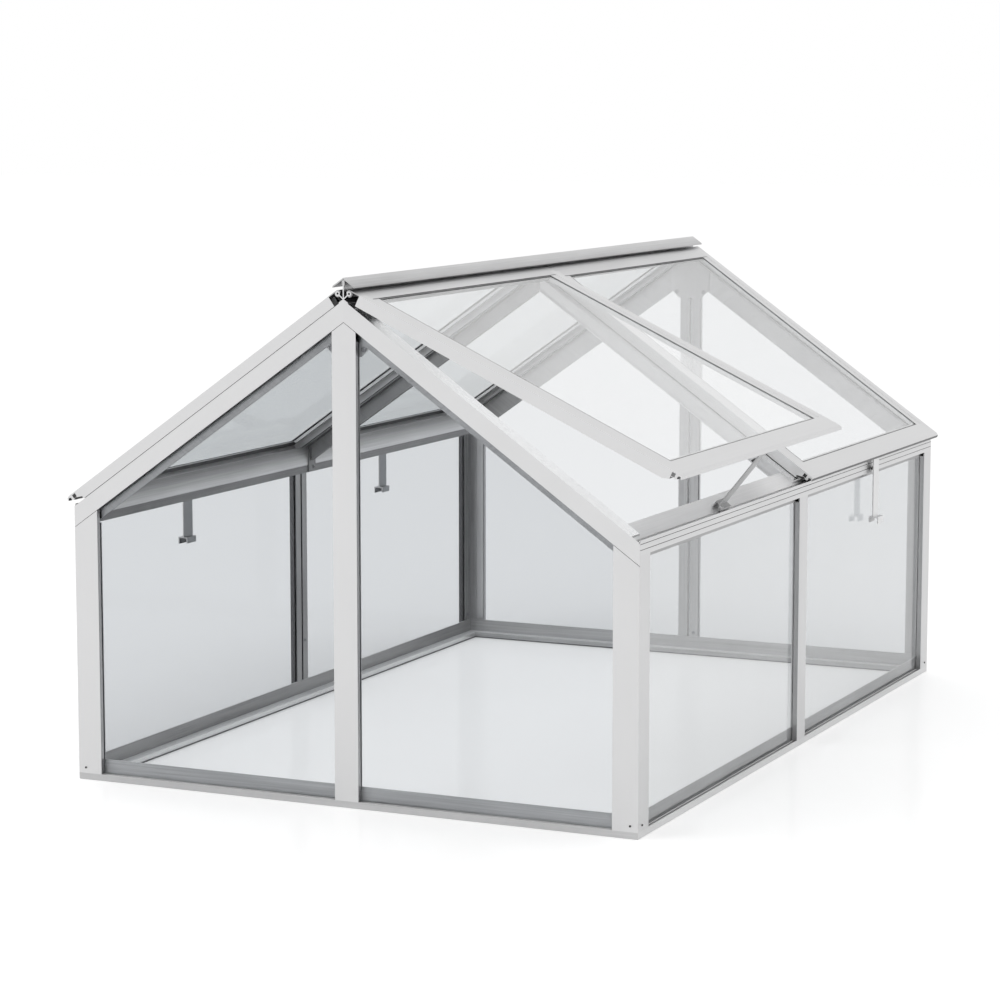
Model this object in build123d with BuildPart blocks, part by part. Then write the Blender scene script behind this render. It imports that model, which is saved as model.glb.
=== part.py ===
"""Small glass greenhouse: an aluminium frame with glass walls and four hinged roof lids.

X runs across the gables, Y along the ridge from the front gable to the back one, and Z up.  The
origin is on the ground, in the middle of the sole of the front base rail.  All sizes are millimetres.
"""
from build123d import *
from math import atan, atan2, cos, degrees, hypot, radians, sin, sqrt, tan
import os

# ---------------------------------------------------------------- overall sizes
width = 1000.0              # across the gables, over the posts
length = 1502.0             # along the ridge, over the gables
eave_height = 456.0         # top of the gable trim at the corner
apex_height = 808.0         # top of the gable trim under the ridge

# ---------------------------------------------------------------- shared sheet and glass sizes
skin = 2.0                  # wall of the frame extrusions
post_face = 43.0            # visible face of the corner posts, both ways
mid_face = 42.0             # visible face of the centre posts and the middle rafters
trim_face = 28.0            # visible face of the sloping gable trim
reveal = 8.5                # glass set back from the outer face
glass = 3.0                 # glass thickness
glass_play = 0.3            # play each side of the glass in its slot
glass_bite = 5.0            # how far a wall glass reaches behind the post returns
glass_edge_play = 2.0       # between the edge of a wall glass and the metal
inner_lap = 12.8            # inner flange of the gable trim reaches this much lower than its face
seam = 0.7                  # open joint between the gable trim and the posts under it
port_half = 2.5             # half width of the screw port along the inside of a post
post_groove = 3.0           # width of the groove along the inner faces of a corner post
post_groove_depth = 1.0

# ---------------------------------------------------------------- base rails
lip_height = 10.5           # outer lip of the base rail
inner_wall_height = 34.0    # upright behind the glass
ledge_height = 10.0         # ledge on the inside of the base rail
ledge_depth = 20.0          # how far the ledge reaches inwards
seat_play = 0.3             # gap left between stacked frame pieces

# ---------------------------------------------------------------- eave rails
eave_rail_below = 19.0      # underside of the eave rail below the eave height
eave_lip_above = 4.0        # outer lip, which holds the foot of a stay, above the eave height
gutter_below = 0.0          # floor of the gutter below the eave height
gutter_width = 7.0          # open gutter between the outer lip and the sloping band
eave_drop = 7.0             # glazing strip below the eave rail
eave_band = 22.0            # depth of the inner box of the eave rail, behind the glass
inner_groove_height = 13.5  # fine groove along the inner box, above its underside
groove_depth = 0.6          # two fine grooves along the outer face
groove_width = 1.0
groove_start = 8.0          # first groove above the underside
groove_spacing = 9.0

# ---------------------------------------------------------------- ridge
hinge_offset = 10.0         # hinge centre out from the ridge web, and up from the apex
bulb_radius = 4.0           # round hinge bulb of the ridge bar
bulb_bore = 1.7             # screw port in the bulb
ridge_arm = 1.6             # arm that carries the bulb
ridge_foot = 8.0            # half width of the foot on the rafters
ridge_web_above = 31.0      # top of the ridge web above the apex
cap_above = 35.0            # top of the cap above the apex
cap_half_width = 19.0
cap_grip = 8.0              # depth of the two legs that clip on the ridge web
cap_grip_wall = 1.2

# ---------------------------------------------------------------- lids
lid_gap = 5.0               # between the two lids of one roof side
lid_inset = 1.0             # lid end back from the gable face
lid_depth = 18.5            # top to underside of a lid rail
lid_lift = 1.1              # underside of a closed lid above the gable trim
lid_wall = 1.6              # wall of the lid extrusions
lid_overhang = 13.0         # nose of the bottom rail beyond the eave face
side_rail_box = 20.0        # closed part of a side rail
side_rail_start = 17.0      # head of the side rails, down the slope from the hinge
side_rail_ledge = 21.0      # ledge that carries the glass
side_ledge_lip = 4.8        # downturned edge of that ledge
bead_width = 21.0           # glazing bead along the side rails
bead_sheet = 0.8
bottom_rail_face = 39.5     # nose to glass
bottom_rail_lap = 10.0      # bottom rail flange over the glass
bottom_rail_ledge = 16.5    # ledge of the bottom rail under the glass
bottom_rail_nose = 20.0     # part of the bottom rail that runs the full length of the lid
nose_cell = 6.3             # square cell behind the nose, closed at the ends of the rail
nose_rake = 1.3             # the nose face leans back this much
nose_bevel_drop = 2.0       # bevel along the top of the nose
nose_bevel_run = 6.0
top_rail_box = 12.0         # closed part of the top rail
top_rail_lap = 7.0          # top rail flange over the glass
lid_glass_play = 0.2
lid_glass_end_play = 1.0    # between the edges of the lid glass and the rails
hook_play = 0.3             # hinge hook round the bulb
hook_wall = 1.2
hook_gap_from = -83.0       # open sector of the hook, degrees from the slope direction
hook_gap_to = -170.0
lid_rest_open = 10.0        # the front right lid stands open this much, degrees

# ---------------------------------------------------------------- stays
stay_width = 30.0
stay_sheet = 2.0
stay_head_radius = 2.6
stay_head_play = 0.4        # play of the head in the groove of the bottom rail
groove_back = 5.0           # groove centre back from the nose
groove_below = 0.6          # groove centre below the hinge line
stay_gap_from = -30.0       # open sector of the groove, degrees from the slope direction
stay_gap_to = -128.0
foot_outer = 10.5           # outer face of the channel foot from the middle of the sheet
foot_inner = 7.5            # inner face of the channel foot from the middle of the sheet
foot_leg = 10.0             # depth of the outer leg of the foot
foot_inner_leg = 8.6        # depth of the inner leg, which clears the sloping band
foot_from_face = 6.6        # toe of a standing foot inside the eave face
foot_play = 0.3             # gap between the toe and the floor of the gutter

# ---------------------------------------------------------------- gussets
gusset_half_width = 40.0
gusset_below = 89.0         # underside of the plates below the apex
gusset_chamfer = 16.0
gusset_sheet = 2.0

# ---------------------------------------------------------------- middle rafters
rafter_web = 24.0           # depth of the web
rafter_foot = 6.0           # half width of the foot along the web
rafter_groove = 1.5         # half width of the screw groove along the top

# ---------------------------------------------------------------- worked out from the sizes above
half_width = width / 2
half_length = length / 2
eave_bottom = eave_height - eave_rail_below
eave_lip_top = eave_height + eave_lip_above
gutter_floor = eave_height - gutter_below
ridge_web_top = apex_height + ridge_web_above
cap_top = apex_height + cap_above
gusset_bottom = apex_height - gusset_below
pitch = degrees(atan((apex_height - eave_height) / half_width))
slot_inner = reveal + glass + 2 * glass_play       # depth of the flange behind the glass
inner_back = slot_inner + skin                     # back of that flange
middle = half_length - inner_back / 2              # Y of the middle of the ridge
glass_depth = reveal + glass_play                  # front of a wall glass
frame_glass_bottom = skin + seat_play
flange_end = half_width - inner_back               # inner plane of the side walls
band_end = flange_end - eave_band                  # inner face of the eave rail's inner box
gutter_edge = half_width - skin - gutter_width     # outer edge of the sloping band
eave_box_floor = eave_bottom - eave_drop
hinge_height = apex_height + hinge_offset
hinge_above_trim = hinge_offset * (sin(radians(pitch)) + cos(radians(pitch)))
lid_under = lid_lift - hinge_above_trim
lid_top = lid_under + lid_depth
lid_nose = (half_width + lid_overhang - hinge_offset) / cos(radians(pitch))
lid_length = half_length - lid_inset - lid_gap / 2
lid_centre = lid_gap / 2 + lid_length / 2
glass_face = lid_top - lid_wall - lid_glass_play
glass_back = glass_face - glass
ledge_face = glass_back - lid_glass_play
hook_outer = bulb_radius + hook_play + hook_wall
top_box_start = top_rail_box
top_box_end = top_box_start + top_rail_box
bottom_wall = lid_nose - bottom_rail_face + bottom_rail_lap   # inner wall of the bottom rail
nose_back = lid_nose - bottom_rail_nose
groove_centre = (lid_nose - groove_back, -groove_below)

os.makedirs("parts", exist_ok=True)


def save(part, name):
    """Label one finished piece and write it as its own STEP file."""
    part.label = name
    export_step(part, f"parts/{name}.step")


def block(x_limits, y_limits, mode=Mode.ADD):
    """Add or cut a rectangle between two limits each way in the sketch in hand."""
    low_x, high_x = sorted(x_limits)
    low_y, high_y = sorted(y_limits)
    with Locations(((low_x + high_x) / 2, (low_y + high_y) / 2)):
        Rectangle(high_x - low_x, high_y - low_y, mode=mode)


def gable_y(end, depth=0.0):
    """Place along Y of a depth inside the front (-1) or the back (1) gable."""
    return middle + end * (half_length - depth)


def trim_line(x, drop=0.0):
    """Height of the line that runs the given depth square below the top of the gable trim."""
    return apex_height - abs(x) * tan(radians(pitch)) - drop / cos(radians(pitch))


def sloping_strip(side, near, far, top_drop, bottom_drop):
    """Corners of a strip along the roof slope with upright ends, in X and Z."""
    return [
        (side * near, trim_line(near, top_drop)),
        (side * far, trim_line(far, top_drop)),
        (side * far, trim_line(far, bottom_drop)),
        (side * near, trim_line(near, bottom_drop)),
    ]


def gable_plane(end, depth):
    """Upright plane square to Y, the given depth inside one gable, with local axes X and Z."""
    return Plane(origin=(0, gable_y(end, depth), 0), x_dir=(1, 0, 0), z_dir=(0, -1, 0))


def gable_layer(end, start, stop, corners):
    """Extrude an outline drawn in X and Z between two depths inside one gable."""
    with BuildSketch(gable_plane(end, start)) as outline:
        Polygon(*corners, align=None)
    extrude(outline.sketch, amount=end * (stop - start))


def cross_plane():
    """Plane square to Y at the middle of the ridge, with local axes X and Z."""
    return Plane(origin=(0, middle, 0), x_dir=(1, 0, 0), z_dir=(0, -1, 0))


def slope_plane(side, angle, origin):
    """Section plane square to Y: local x runs down at the angle, away from the ridge."""
    turn = radians(angle)
    return Plane(origin=origin, x_dir=(side * cos(turn), 0, -sin(turn)), z_dir=(0, -side, 0))


def sector(centre, start, stop, radius):
    """Corners of a pie slice that is cut out of a round groove."""
    corners = [centre]
    for angle in (start, (start + stop) / 2, stop):
        turn = radians(angle)
        corners.append((centre[0] + radius * cos(turn), centre[1] + radius * sin(turn)))
    return corners


# ================================================================ base rails
def base_section(position):
    """Section of the base rail; position(depth) turns a depth inside the wall into a place."""
    block((position(0), position(skin)), (0, lip_height))
    block((position(0), position(inner_back)), (0, skin))
    block((position(reveal - skin), position(reveal)), (0, lip_height))
    block((position(slot_inner), position(inner_back)), (0, inner_wall_height))
    block((position(slot_inner), position(inner_back + ledge_depth)), (ledge_height - skin, ledge_height))
    ledge_edge = inner_back + ledge_depth
    block((position(ledge_edge - skin), position(ledge_edge)), (0, ledge_height))


for end, end_name in ((-1, "front"), (1, "back")):
    with BuildPart() as gable_base:
        with BuildSketch(Plane.YZ):
            base_section(lambda depth: gable_y(end, depth))
        extrude(amount=half_width, both=True)
        for side in (-1, 1):
            mitre = Plane(origin=(side * half_width, gable_y(end), 0), z_dir=(side, -end, 0))
            split(bisect_by=mitre, keep=Keep.BOTTOM)
    save(gable_base.part, f"{end_name}_base_rail")

for side, side_name in ((-1, "left"), (1, "right")):
    with BuildPart() as side_base:
        with BuildSketch(cross_plane()):
            base_section(lambda depth: side * (half_width - depth))
        extrude(amount=half_length, both=True)
        for end in (-1, 1):
            mitre = Plane(origin=(side * half_width, gable_y(end), 0), z_dir=(-side, end, 0))
            split(bisect_by=mitre, keep=Keep.BOTTOM)
    save(side_base.part, f"{side_name}_base_rail")

# ================================================================ corner posts
post_edge = half_width - post_face
inner_start = inner_wall_height + seat_play
inner_stop = eave_box_floor - seat_play
post_top = trim_face + seam
for end, end_name in ((-1, "front"), (1, "back")):
    for side, side_name in ((-1, "left"), (1, "right")):
        with BuildPart() as corner_post:
            face = [
                (side * half_width, lip_height),
                (side * half_width, trim_line(half_width, post_top)),
                (side * post_edge, trim_line(post_edge, post_top)),
                (side * post_edge, lip_height),
            ]
            gable_layer(end, 0, skin, face)
            gable_return = [
                (side * (post_edge + skin), lip_height),
                (side * (post_edge + skin), trim_line(post_edge + skin, post_top)),
                (side * post_edge, trim_line(post_edge, post_top)),
                (side * post_edge, lip_height),
            ]
            gable_layer(end, 0, reveal, gable_return)
            with BuildSketch(Plane.XY.offset(lip_height)):
                block((side * half_width, side * (half_width - skin)),
                      (gable_y(end, skin), gable_y(end, post_face)))
            extrude(amount=eave_bottom - lip_height)
            with BuildSketch(Plane.XY.offset(lip_height)):
                block((side * half_width, side * (half_width - reveal)),
                      (gable_y(end, post_face - skin), gable_y(end, post_face)))
            extrude(amount=inner_stop - lip_height)
            with BuildSketch(Plane.XY.offset(inner_start)):
                block((side * half_width, side * post_edge),
                      (gable_y(end, slot_inner), gable_y(end, inner_back)))
                block((side * (half_width - slot_inner), side * (half_width - inner_back)),
                      (gable_y(end), gable_y(end, post_face)))
            extrude(amount=inner_stop - inner_start)
            groove_near = (post_face + inner_back - post_groove) / 2
            groove_far = groove_near + post_groove
            groove_bottom = inner_back - post_groove_depth
            with BuildSketch(Plane.XY.offset(inner_start)):
                block((side * (half_width - groove_near), side * (half_width - groove_far)),
                      (gable_y(end, groove_bottom), gable_y(end, inner_back)))
                block((side * (half_width - groove_bottom), side * (half_width - inner_back)),
                      (gable_y(end, groove_near), gable_y(end, groove_far)))
            extrude(amount=inner_stop - inner_start, mode=Mode.SUBTRACT)
        save(corner_post.part, f"{end_name}_{side_name}_corner_post")

# ================================================================ gable centre posts
half_face = mid_face / 2
port_wall = port_half + skin
for end, end_name in ((-1, "front"), (1, "back")):
    with BuildPart() as centre_post:
        face = [
            (-half_face, lip_height),
            (-half_face, trim_line(half_face, post_top)),
            (0, trim_line(0, post_top)),
            (half_face, trim_line(half_face, post_top)),
            (half_face, lip_height),
        ]
        low_trim = trim_face + inner_lap + seat_play
        for side in (-1, 1):
            edge_strip = [
                (side * half_face, lip_height),
                (side * half_face, trim_line(half_face, low_trim)),
                (side * (half_face - skin), trim_line(half_face - skin, low_trim)),
                (side * (half_face - skin), lip_height),
            ]
            gable_layer(end, 0, reveal, edge_strip)
            web = [
                (side * port_half, inner_start),
                (side * port_half, trim_line(port_half, low_trim)),
                (side * port_wall, trim_line(port_wall, low_trim)),
                (side * port_wall, inner_start),
            ]
            gable_layer(end, skin, inner_back, web)
            inner_flange = [
                (side * port_half, inner_start),
                (side * port_half, trim_line(port_half, low_trim)),
                (side * half_face, trim_line(half_face, low_trim)),
                (side * half_face, inner_start),
            ]
            gable_layer(end, slot_inner, inner_back, inner_flange)
        gable_layer(end, 0, skin, face)
    save(centre_post.part, f"{end_name}_centre_post")

# ================================================================ side middle posts
for side, side_name in ((-1, "left"), (1, "right")):
    with BuildPart() as mid_post:
        outer = side * half_width
        with BuildSketch(Plane.XY.offset(lip_height)):
            block((outer, outer - side * skin), (middle - half_face, middle + half_face))
        extrude(amount=eave_bottom - lip_height)
        with BuildSketch(Plane.XY.offset(lip_height)):
            for edge in (-1, 1):
                block((outer, outer - side * reveal),
                      (middle + edge * half_face, middle + edge * (half_face - skin)))
        extrude(amount=inner_stop - lip_height)
        with BuildSketch(Plane.XY.offset(inner_start)):
            for edge in (-1, 1):
                block((outer - side * slot_inner, outer - side * inner_back),
                      (middle + edge * port_half, middle + edge * half_face))
                block((outer, outer - side * inner_back),
                      (middle + edge * port_half, middle + edge * port_wall))
        extrude(amount=inner_stop - inner_start)
    save(mid_post.part, f"{side_name}_mid_post")

# ================================================================ gable rafters
inner_low = trim_face + inner_lap
foot_x = (trim_line(0, inner_low) - eave_box_floor) / tan(radians(pitch))
for end, end_name in ((-1, "front"), (1, "back")):
    for side, side_name in ((-1, "left"), (1, "right")):
        with BuildPart() as gable_rafter:
            gable_layer(end, 0, skin, sloping_strip(side, 0, half_width, 0, trim_face))
            gable_layer(end, 0, reveal, sloping_strip(side, 0, band_end, trim_face - skin, trim_face))
            inner_flange = [
                (0, trim_line(0)),
                (side * flange_end, trim_line(flange_end)),
                (side * flange_end, eave_box_floor),
                (side * foot_x, eave_box_floor),
                (0, trim_line(0, inner_low)),
            ]
            gable_layer(end, slot_inner, inner_back, inner_flange)
            gable_layer(end, 0, inner_back + ledge_depth, sloping_strip(side, 0, flange_end, 0, skin))
        save(gable_rafter.part, f"{end_name}_{side_name}_gable_rafter")

# ================================================================ middle rafters
for side, side_name in ((-1, "left"), (1, "right")):
    with BuildPart() as mid_rafter:
        with BuildSketch(cross_plane()):
            Polygon(*sloping_strip(side, 0, flange_end, 0, skin), align=None)
        extrude(amount=half_face, both=True)
        with BuildSketch(cross_plane()):
            Polygon(*sloping_strip(side, 0, band_end, 0, rafter_web), align=None)
        extrude(amount=skin, both=True)
        with BuildSketch(cross_plane()):
            Polygon(*sloping_strip(side, 0, band_end, rafter_web, rafter_web + skin), align=None)
        extrude(amount=rafter_foot, both=True)
        with BuildSketch(cross_plane()):
            Polygon(*sloping_strip(side, -1, half_width, -skin, skin / 2), align=None)
        extrude(amount=rafter_groove, both=True, mode=Mode.SUBTRACT)
    save(mid_rafter.part, f"{side_name}_mid_rafter")

# ================================================================ eave rails
for side, side_name in ((-1, "left"), (1, "right")):
    with BuildPart() as eave_rail:
        outer = side * half_width
        inner = side * flange_end
        box_face = side * band_end
        with BuildSketch(cross_plane()):
            block((outer, outer - side * skin), (eave_bottom, eave_lip_top))
            block((outer, inner), (eave_bottom, eave_bottom + skin))
            block((outer, inner), (gutter_floor - skin, gutter_floor))
            block((outer - side * (reveal - skin), outer - side * reveal),
                  (eave_box_floor, eave_bottom + skin))
            wall_top = trim_line(flange_end + skin, skin)
            block((inner, inner + side * skin), (eave_box_floor, wall_top))
            Polygon(*sloping_strip(side, flange_end, gutter_edge, skin, 2 * skin), align=None)
        extrude(amount=half_length - skin, both=True)
        with BuildSketch(cross_plane()):
            box_top = trim_line(band_end + skin, skin)
            block((box_face, box_face + side * skin), (eave_box_floor, box_top))
            block((box_face, inner + side * skin), (eave_box_floor, eave_box_floor + skin))
            Polygon(*sloping_strip(side, band_end, flange_end + skin, skin, 2 * skin), align=None)
        extrude(amount=half_length - inner_back - seat_play, both=True)
        with BuildSketch(cross_plane()):
            for level in (0, 1):
                groove_height = eave_bottom + groove_start + level * groove_spacing
                block((outer + side, outer - side * groove_depth),
                      (groove_height - groove_width / 2, groove_height + groove_width / 2))
            groove_height = eave_box_floor + inner_groove_height
            block((box_face - side, box_face + side * groove_depth),
                  (groove_height - groove_width / 2, groove_height + groove_width / 2))
        extrude(amount=half_length, both=True, mode=Mode.SUBTRACT)
    save(eave_rail.part, f"{side_name}_eave_rail")

# ================================================================ ridge bar and cap
with BuildPart() as ridge_bar:
    with BuildSketch(cross_plane()):
        block((-skin / 2, skin / 2), (apex_height + ridge_arm, ridge_web_top))
        for side in (-1, 1):
            Polygon(*sloping_strip(side, 0, ridge_foot, -ridge_arm, 0), align=None)
            bulb = (side * hinge_offset, hinge_height)
            half_arm = ridge_arm / 2
            Polygon((-side * half_arm, apex_height + ridge_arm),
                    (side * half_arm, apex_height + ridge_arm / 2),
                    (bulb[0] + side * half_arm, bulb[1] - half_arm),
                    (bulb[0] - side * half_arm, bulb[1] + half_arm), align=None)
            with Locations(bulb):
                Circle(bulb_radius)
        for side in (-1, 1):
            with Locations((side * hinge_offset, hinge_height)):
                Circle(bulb_bore, mode=Mode.SUBTRACT)
    extrude(amount=half_length, both=True)
save(ridge_bar.part, "ridge_bar")

cap_wall = skin / cos(radians(pitch))
with BuildPart() as ridge_cap:
    with BuildSketch(cross_plane()):
        for side in (-1, 1):
            cap_drop = cap_half_width * tan(radians(pitch))
            Polygon((0, cap_top), (side * cap_half_width, cap_top - cap_drop),
                    (side * cap_half_width, cap_top - cap_drop - cap_wall),
                    (0, cap_top - cap_wall), align=None)
            grip = side * (skin / 2 + glass_play)
            block((grip, grip + side * cap_grip_wall), (ridge_web_top - cap_grip, cap_top - cap_wall))
    extrude(amount=half_length, both=True)
save(ridge_cap.part, "ridge_cap")

# ================================================================ gussets under the apex
with BuildPart() as gussets:
    for end in (-1, 1):
        plate = [(0, trim_line(0, 2 * skin))]
        for side in (1, -1):
            wing = [
                (side * gusset_half_width, trim_line(gusset_half_width, 2 * skin)),
                (side * gusset_half_width, gusset_bottom + gusset_chamfer),
                (side * (gusset_half_width - gusset_chamfer), gusset_bottom),
            ]
            plate += wing if side > 0 else wing[::-1]
        gable_layer(end, inner_back, inner_back + gusset_sheet, plate)
save(gussets.part, "apex_gussets")

# ================================================================ wall glass
glass_start = port_wall + glass_edge_play
glass_under_trim = skin + glass_edge_play
for end, end_name in ((-1, "front"), (1, "back")):
    with BuildPart() as gable_glass:
        for side in (-1, 1):
            glass_edge = post_edge + glass_bite
            pane = [
                (side * glass_start, frame_glass_bottom),
                (side * glass_start, trim_line(glass_start, glass_under_trim)),
                (side * glass_edge, trim_line(glass_edge, glass_under_trim)),
                (side * glass_edge, frame_glass_bottom),
            ]
            gable_layer(end, glass_depth, glass_depth + glass, pane)
    save(gable_glass.part, f"{end_name}_gable_glass")

for side, side_name in ((-1, "left"), (1, "right")):
    with BuildPart() as wall_glass:
        front_of_glass = side * (half_width - glass_depth)
        with BuildSketch(Plane.XY.offset(frame_glass_bottom)):
            for edge in (-1, 1):
                block((front_of_glass, front_of_glass - side * glass),
                      (middle + edge * glass_start, gable_y(edge, post_face - glass_bite)))
        extrude(amount=eave_bottom - seat_play - frame_glass_bottom)
    save(wall_glass.part, f"{side_name}_wall_glass")


# ================================================================ lids
def lid_point(side, angle, along, above, y):
    """Place in the model of a point given down the slope and square above a lid at an angle."""
    turn = radians(angle)
    x = hinge_offset + along * cos(turn) + above * sin(turn)
    z = hinge_height - along * sin(turn) + above * cos(turn)
    return (side * x, y, z)


def under_nose(along):
    """Height of the sloping underside of the bottom rail at a place down the slope."""
    drop = (groove_centre[1] - lid_under) / (lid_nose - bottom_wall)
    return groove_centre[1] + (along - lid_nose) * drop


def make_top_rail(plane):
    """Hook round the ridge bulb, a wing, and the box that carries the head of the glass."""
    with BuildPart() as rail:
        with BuildSketch(plane):
            Circle(hook_outer)
            Circle(hook_outer - hook_wall, mode=Mode.SUBTRACT)
            Polygon(*sector((0, 0), hook_gap_from, hook_gap_to, 2 * hook_outer),
                    align=None, mode=Mode.SUBTRACT)
            block((hook_outer - hook_wall / 2, side_rail_start), (lid_top - lid_wall, lid_top))
            Polygon((0, hook_outer - hook_wall), (0, hook_outer), (hook_outer, lid_top),
                    (hook_outer, lid_top - lid_wall), align=None)
        extrude(amount=lid_length / 2, both=True)
        with BuildSketch(plane):
            block((top_box_start, top_box_end), (lid_under, lid_top))
            block((top_box_start + lid_wall, top_box_end - lid_wall),
                  (lid_under + lid_wall, lid_top - lid_wall), Mode.SUBTRACT)
            block((top_box_end, top_box_end + top_rail_lap), (lid_top - lid_wall, lid_top))
            block((top_box_end, top_box_end + top_rail_box), (ledge_face - lid_wall, ledge_face))
        extrude(amount=lid_length / 2 - side_rail_box, both=True)
    return rail.part


def make_bottom_rail(plane):
    """Nose with a groove for the stay, a cell behind it, and a slot for the foot of the glass."""
    with BuildPart() as rail:
        with BuildSketch(plane):
            Polygon((nose_back, under_nose(nose_back)), (lid_nose, groove_centre[1]),
                    (lid_nose - nose_rake, lid_top - nose_bevel_drop),
                    (lid_nose - nose_bevel_run, lid_top), (nose_back, lid_top), align=None)
            cell_start = nose_back + lid_wall
            cell_stop = cell_start + nose_cell
            cell_top = lid_top - lid_wall
            block((cell_start, cell_stop), (lid_under, cell_top - nose_cell - lid_wall), Mode.SUBTRACT)
            with Locations(groove_centre):
                Circle(stay_head_radius + stay_head_play, mode=Mode.SUBTRACT)
            Polygon(*sector(groove_centre, stay_gap_from, stay_gap_to, 3 * stay_head_radius),
                    align=None, mode=Mode.SUBTRACT)
        extrude(amount=lid_length / 2, both=True)
        with BuildSketch(plane):
            Polygon((bottom_wall, lid_under), (cell_start, under_nose(cell_start)),
                    (cell_start, lid_top), (bottom_wall, lid_top), align=None)
            back_start = bottom_wall + lid_wall
            Polygon((back_start, under_nose(back_start) + lid_wall),
                    (nose_back, under_nose(nose_back) + lid_wall),
                    (nose_back, cell_top), (back_start, cell_top), align=None, mode=Mode.SUBTRACT)
            block((lid_nose - bottom_rail_face, bottom_wall), (cell_top, lid_top))
            block((bottom_wall - bottom_rail_ledge, bottom_wall), (ledge_face - lid_wall, ledge_face))
        extrude(amount=lid_length / 2 - side_rail_box, both=True)
        with BuildSketch(plane):
            block((nose_back, cell_stop), (cell_top - nose_cell, cell_top))
        extrude(amount=lid_length / 2 - side_rail_box, both=True, mode=Mode.SUBTRACT)
    return rail.part


def make_side_rails(side, angle, section):
    """The two side rails of a lid: a box with a ledge and a bead for the edge of the glass."""
    turn = radians(angle)
    down_slope = (side * cos(turn), 0, -sin(turn))
    half = lid_length / 2
    centre_y = section.origin.Y
    with BuildPart() as rails:
        spans = {
            "box": (side_rail_start, nose_back),
            "bead": (top_box_end + top_rail_lap, lid_nose - bottom_rail_face),
            "ledge": (top_box_end + top_rail_box, bottom_wall - bottom_rail_ledge),
        }
        for shape, (start, stop) in spans.items():
            origin = lid_point(side, angle, start, 0, centre_y)
            with BuildSketch(Plane(origin=origin, x_dir=(0, side, 0), z_dir=down_slope)):
                for edge in (-1, 1):
                    inside = edge * (half - side_rail_box)
                    if shape == "box":
                        block((edge * half, inside), (lid_under, lid_top))
                        block((edge * (half - lid_wall), inside + edge * lid_wall),
                              (lid_under + lid_wall, lid_top - lid_wall), Mode.SUBTRACT)
                    elif shape == "bead":
                        bead_under = lid_top - lid_wall
                        block((inside, inside - edge * bead_width), (bead_under, bead_under + bead_sheet))
                    else:
                        ledge_edge = inside - edge * side_rail_ledge
                        block((inside, ledge_edge), (ledge_face - lid_wall, ledge_face))
                        block((ledge_edge + edge * lid_wall, ledge_edge),
                              (ledge_face - side_ledge_lip, ledge_face))
            extrude(amount=stop - start)
        with BuildSketch(section):
            Polygon((bottom_wall, lid_under), (nose_back, lid_under),
                    (nose_back, under_nose(nose_back)), align=None)
        extrude(amount=half, both=True, mode=Mode.SUBTRACT)
    return rails.part


def make_lid_glass(plane):
    """One sheet of glass, held in the slots of all four rails."""
    with BuildPart() as sheet:
        with BuildSketch(plane):
            block((top_box_end + lid_glass_end_play, bottom_wall - lid_glass_end_play),
                  (glass_back, glass_face))
        extrude(amount=lid_length / 2 - side_rail_box - lid_glass_end_play, both=True)
    return sheet.part


# A propped lid fixes the length of every stay: its toe stands in the gutter, inside the outer lip.
propped_angle = pitch - lid_rest_open
propped_head = lid_point(1, propped_angle, *groove_centre, 0)
reach_x = propped_head[0] - (half_width - foot_from_face)
reach_z = propped_head[2] - (gutter_floor + foot_play)
stay_seat = sqrt(hypot(reach_x, reach_z) ** 2 - foot_outer ** 2)
stay_reach = stay_seat - foot_leg
propped_tilt = degrees(atan2(reach_x, reach_z) + atan(foot_outer / stay_seat))


def make_stay(plane):
    """Flat stay with a round head for the rail groove and a channel foot."""
    with BuildPart() as stay:
        with BuildSketch(plane):
            Circle(stay_head_radius)
            block((-stay_sheet / 2, stay_sheet / 2), (-stay_reach, 0))
            block((-foot_inner, foot_outer), (-stay_reach, stay_sheet - stay_reach))
            block((foot_outer - stay_sheet, foot_outer), (-stay_seat, -stay_reach))
            block((-foot_inner, stay_sheet - foot_inner), (-stay_reach - foot_inner_leg, -stay_reach))
        extrude(amount=stay_width / 2, both=True)
    return stay.part


for end, end_name in ((-1, "front"), (1, "back")):
    for side, side_name in ((-1, "left"), (1, "right")):
        lid_name = f"{end_name}_{side_name}"
        propped = lid_name == "front_right"
        lid_angle = propped_angle if propped else pitch
        stay_tilt = propped_tilt if propped else 0.0
        centre_y = middle + end * lid_centre
        section = slope_plane(side, lid_angle, (side * hinge_offset, centre_y, hinge_height))
        head = lid_point(side, lid_angle, *groove_centre, centre_y)
        save(make_top_rail(section), f"{lid_name}_lid_top_rail")
        save(make_bottom_rail(section), f"{lid_name}_lid_bottom_rail")
        save(make_side_rails(side, lid_angle, section), f"{lid_name}_lid_side_rails")
        save(make_lid_glass(section), f"{lid_name}_lid_glass")
        save(make_stay(slope_plane(side, stay_tilt, head)), f"{lid_name}_stay")
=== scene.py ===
"""Looks of the small aluminium and glass greenhouse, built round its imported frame."""

import logging
import math
from collections.abc import Callable
from dataclasses import dataclass, field
from enum import Enum

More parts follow.
